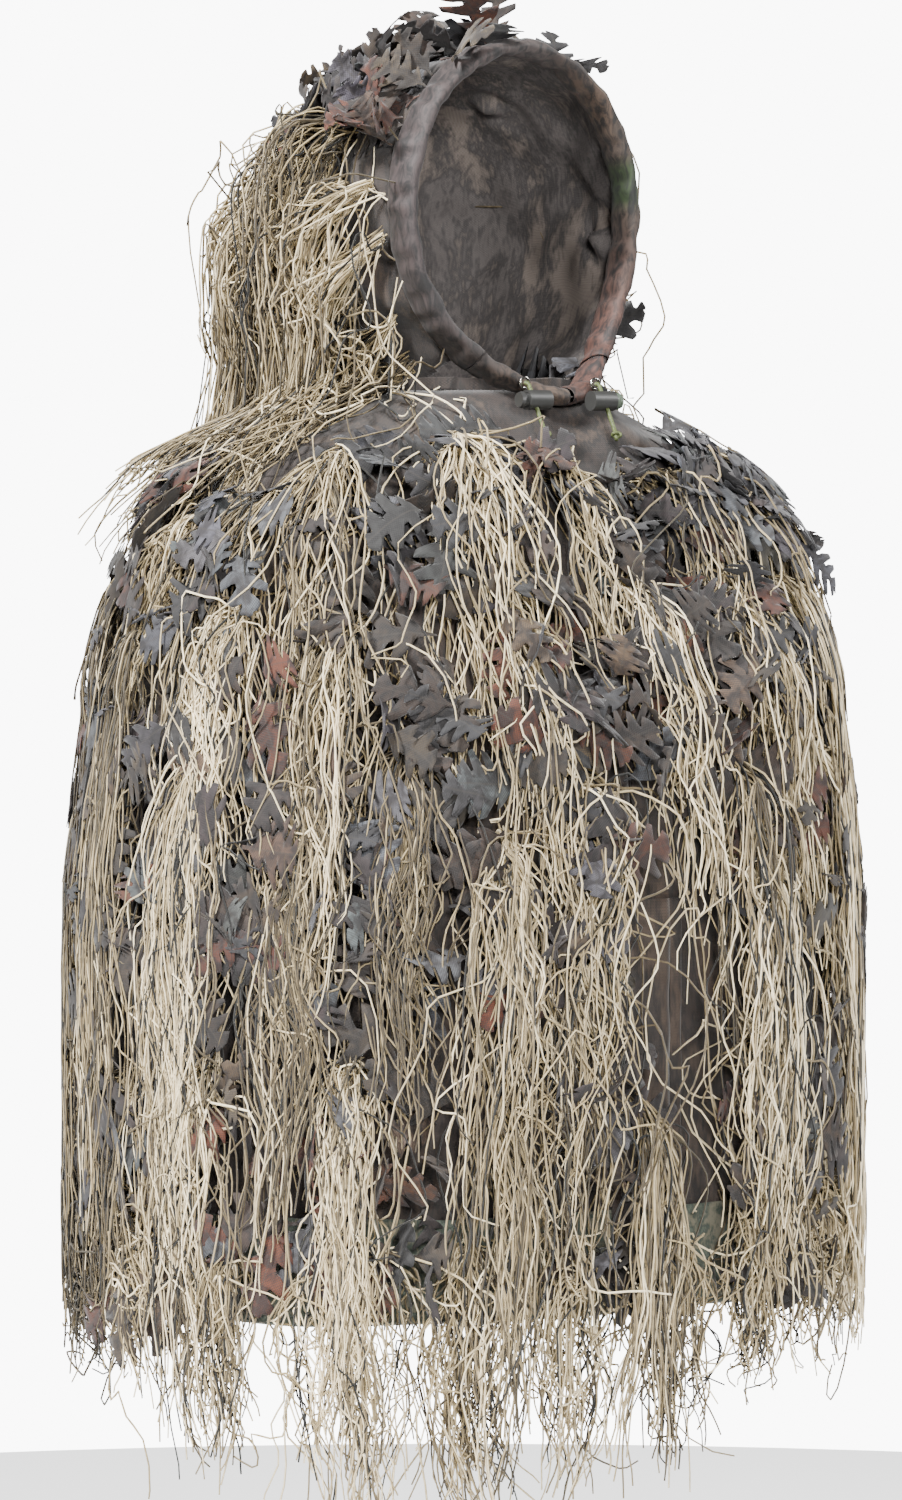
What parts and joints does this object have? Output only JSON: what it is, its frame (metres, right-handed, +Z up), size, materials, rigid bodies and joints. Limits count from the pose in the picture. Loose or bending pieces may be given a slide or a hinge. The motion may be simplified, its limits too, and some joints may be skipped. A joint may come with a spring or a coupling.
{
  "type": "ghillie suit",
  "caption": "Hooded camouflage over-garment of printed mesh covered in hanging yarn and cut leaves, with a drawcord face opening and a snap-closed front flap.",
  "frame": {"origin": "middle of the neck seam, where the garment rests on the wearer", "axes": "+Z up, the wearer faces -Y, the wearer's left is +X"},
  "size_m": [0.702, 0.5519, 1.2111],
  "materials": {
    "printed_mesh": "camouflage-printed polyester mesh, matt",
    "lower_mesh": "camouflage-printed polyester mesh, matt",
    "collar_cloth": "brushed tricot, printed",
    "band_cloth": "brushed tricot with a bark print, satin",
    "chin_cloth": "brushed tricot with a bark print, satin",
    "hem_cloth": "woven cloth with a dark leaf print",
    "seam_tape": "woven tape",
    "webbing": "ribbed webbing",
    "cord": "braided polyester cord, olive",
    "lock_plastic": "moulded, fine grain",
    "lock_cap": "moulded, grey green",
    "spring_steel": "drawn wire",
    "snap_metal": "stamped, blackened",
    "snap_cap": "dark paint, worn at the rim",
    "eyelet_metal": "stamped, nickel",
    "yarn": "spun jute-like yarn, khaki and tan with some black",
    "leaf_blue": "cut mesh leaf, blue grey",
    "leaf_brown": "cut mesh leaf, brown",
    "leaf_rust": "cut cloth leaf, rust"
  },
  "bodies": {
    "jacket": {"front_yoke": "printed_mesh", "back_yoke": "printed_mesh", "neck_collar": "collar_cloth", "left_front_panel": "lower_mesh", "right_front_panel": "lower_mesh", "back_panel": "lower_mesh", "left_side_tape": "seam_tape", "right_side_tape": "seam_tape", "hem_band": "hem_cloth", "hanger_loop": "webbing", "underlap": "lower_mesh", "flap_seam_strip": "lower_mesh", "snap_posts": "snap_metal", "snap_studs": "snap_metal", "chin_band_left": "chin_cloth", "chin_band_right": "chin_cloth", "eyelets": "eyelet_metal", "cord_end_left": "cord", "cord_end_right": "cord", "cord_knots": "cord", "yarn_shoulder": "yarn", "yarn_chest": "yarn", "yarn_waist": "yarn", "yarn_hip": "yarn", "yarn_thigh": "yarn", "yarn_hem": "yarn", "leaves_neck": "leaf_blue", "leaves_chest": "leaf_brown", "leaves_waist": "leaf_blue", "leaves_hip": "leaf_rust", "leaves_thigh": "leaf_brown"},
    "hood": {"hood_left_panel": "printed_mesh", "hood_right_panel": "printed_mesh", "hood_centre_tape": "seam_tape", "face_band": "band_cloth", "drawcord": "cord", "yarn_hood": "yarn", "leaves_crown": "leaf_blue"},
    "placket_flap": {"front_flap": "lower_mesh", "snap_sockets": "snap_metal", "snap_caps": "snap_cap", "yarn_flap": "yarn"},
    "lock_left": {"lock_barrel_left": "lock_plastic", "lock_spring_left": "spring_steel"},
    "button_left": {"lock_button_left": "lock_cap"},
    "lock_right": {"lock_barrel_right": "lock_plastic", "lock_spring_right": "spring_steel"},
    "button_right": {"lock_button_right": "lock_plastic"}
  },
  "joints": [
    {"name": "hood_tilt", "type": "hinge", "parent": "jacket", "child": "hood", "pos_m": [0, 0, 0.035], "axis": [-1, 0, 0], "range_deg": [0, 35]},
    {"name": "flap_open", "type": "hinge", "parent": "jacket", "child": "placket_flap", "pos_m": [0.0283, -0.2417, -0.548], "axis": [0, 0, 1], "range_deg": [0, 60]},
    {"name": "lock_left_slide", "type": "slide", "parent": "jacket", "child": "lock_left", "axis": [0, -0.5, -0.866], "range_m": [0, 0.018]},
    {"name": "button_left_press", "type": "slide", "parent": "lock_left", "child": "button_left", "axis": [-1, 0, 0], "range_m": [0, 0.004], "stiffness_N_per_m": 250, "springref_m": -0.004, "deforming": ["lock_spring_left"]},
    {"name": "lock_right_slide", "type": "slide", "parent": "jacket", "child": "lock_right", "axis": [0, -0.5, -0.866], "range_m": [0, 0.018]},
    {"name": "button_right_press", "type": "slide", "parent": "lock_right", "child": "button_right", "axis": [1, 0, 0], "range_m": [0, 0.004], "stiffness_N_per_m": 250, "springref_m": -0.004, "deforming": ["lock_spring_right"]}
  ]
}
